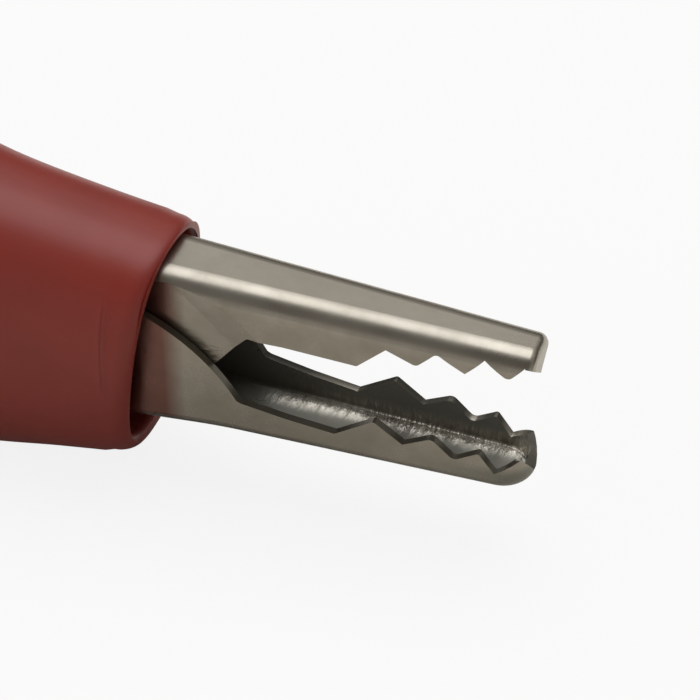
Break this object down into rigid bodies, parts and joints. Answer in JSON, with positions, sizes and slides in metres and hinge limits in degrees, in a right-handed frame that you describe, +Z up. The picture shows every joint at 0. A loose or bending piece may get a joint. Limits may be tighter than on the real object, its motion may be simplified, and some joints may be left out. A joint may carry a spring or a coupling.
{
  "type": "miniature crocodile clip",
  "caption": "Small spring-loaded toothed clip with two stamped jaws on a rivet and a soft sleeve over its handles and lead terminal.",
  "frame": {"origin": "middle of the clip's length and width, on the surface that its sleeve rests on", "axes": "+X from the lead neck to the jaw tips, +Z up through the upper jaw, jaws held half open"},
  "size_m": [0.0464, 0.0098, 0.0148],
  "materials": {
    "sleeve": "satin soft vinyl, dark red",
    "plated_sheet": "bright nickel plate over pressed steel",
    "rivet_steel": "bright nickel plate",
    "spring_wire": "drawn spring wire",
    "screw_brass": "turned brass"
  },
  "bodies": {
    "lower": {"lower_jaw": "plated_sheet", "pivot_rivet": "rivet_steel", "torsion_spring": "spring_wire", "insulating_boot": "sleeve"},
    "upper": {"upper_jaw": "plated_sheet"},
    "screw": {"terminal_screw": "screw_brass"}
  },
  "joints": [
    {"name": "jaw_pivot", "type": "hinge", "parent": "lower", "child": "upper", "pos_m": [0.00352, 0, 0.00745], "axis": [0, -1, 0], "range_deg": [-13.8, 12], "stiffness_Nm_per_rad": 0.028, "springref_deg": -48.13, "deforming": ["torsion_spring", "insulating_boot"]},
    {"name": "screw_turn", "type": "hinge", "parent": "lower", "child": "screw", "pos_m": [-0.00948, 0, 0.00296], "axis": [-0.1045, 0, 0.9945], "range_deg": [0, 1080]}
  ]
}
